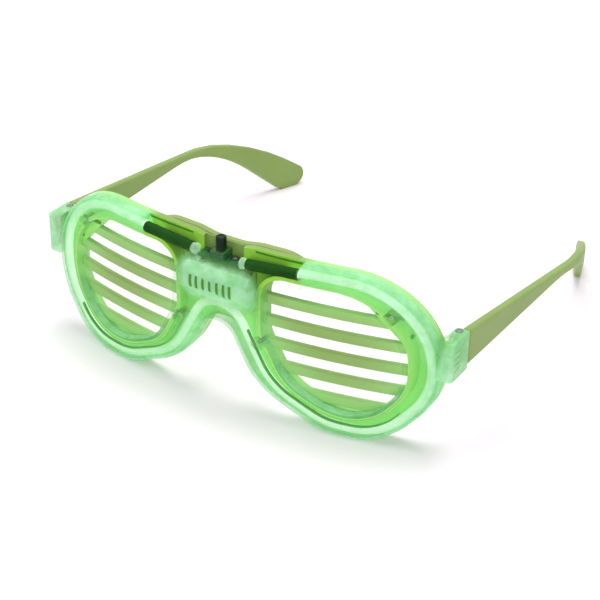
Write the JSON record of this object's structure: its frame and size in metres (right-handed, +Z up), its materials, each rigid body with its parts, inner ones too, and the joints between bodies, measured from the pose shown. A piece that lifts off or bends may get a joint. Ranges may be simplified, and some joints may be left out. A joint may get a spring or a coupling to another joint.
{
  "type": "led glasses",
  "caption": "Wraparound shutter glasses with a clear front lit by a light pipe, slats in front of the eyes, a push button on the bridge and folding temples.",
  "frame": {"origin": "under the middle of the whole object's box, on the surface that the rims and the temple tips stand on", "axes": "+Z up, +X to the wearer's left, -Y the way the front faces, +Y the way the temples run"},
  "size_m": [0.156, 0.1527, 0.0586],
  "materials": {
    "clear_plastic": "clear, glowing mint with the lamps on",
    "olive_plastic": "satin",
    "pipe_plastic": "lit, white-mint",
    "black_rubber": "satin",
    "lamp_plastic": "clear, lit",
    "board": "solder mask",
    "black_epoxy": "matt",
    "green_plastic": "gloss",
    "black_plastic": "gloss",
    "steel": "plated",
    "spring_steel": "plated",
    "screw_steel": "plated"
  },
  "bodies": {
    "front": {"front_shell": "clear_plastic", "shutter_frame": "olive_plastic", "light_pipe": "pipe_plastic", "left_sleeve": "black_rubber", "right_sleeve": "black_rubber", "left_led": "lamp_plastic", "right_led": "lamp_plastic", "circuit_board": "board", "control_chip": "black_epoxy", "resistor": "black_epoxy", "switch_body": "green_plastic", "left_cell": "steel", "middle_cell": "steel", "right_cell": "steel", "contact_spring": "spring_steel", "left_contact": "spring_steel", "right_contact": "spring_steel", "battery_door": "olive_plastic", "door_screw": "screw_steel", "frame_screws": "screw_steel", "left_hinge_pin": "screw_steel", "right_hinge_pin": "screw_steel"},
    "left_temple": {"left_temple": "olive_plastic"},
    "right_temple": {"right_temple": "olive_plastic"},
    "button": {"push_button": "black_plastic"}
  },
  "joints": [
    {"name": "left_temple_fold", "type": "hinge", "parent": "front", "child": "left_temple", "pos_m": [0.0733, -0.05205, 0.034], "axis": [0, 0, 1], "range_deg": [0, 85]},
    {"name": "right_temple_fold", "type": "hinge", "parent": "front", "child": "right_temple", "pos_m": [-0.0733, -0.05205, 0.034], "axis": [0, 0, -1], "range_deg": [0, 76]},
    {"name": "button_press", "type": "slide", "parent": "front", "child": "button", "axis": [0, 0, -1], "range_m": [0, 0.0004], "stiffness_N_per_m": 1500, "springref_m": -0.0002}
  ]
}
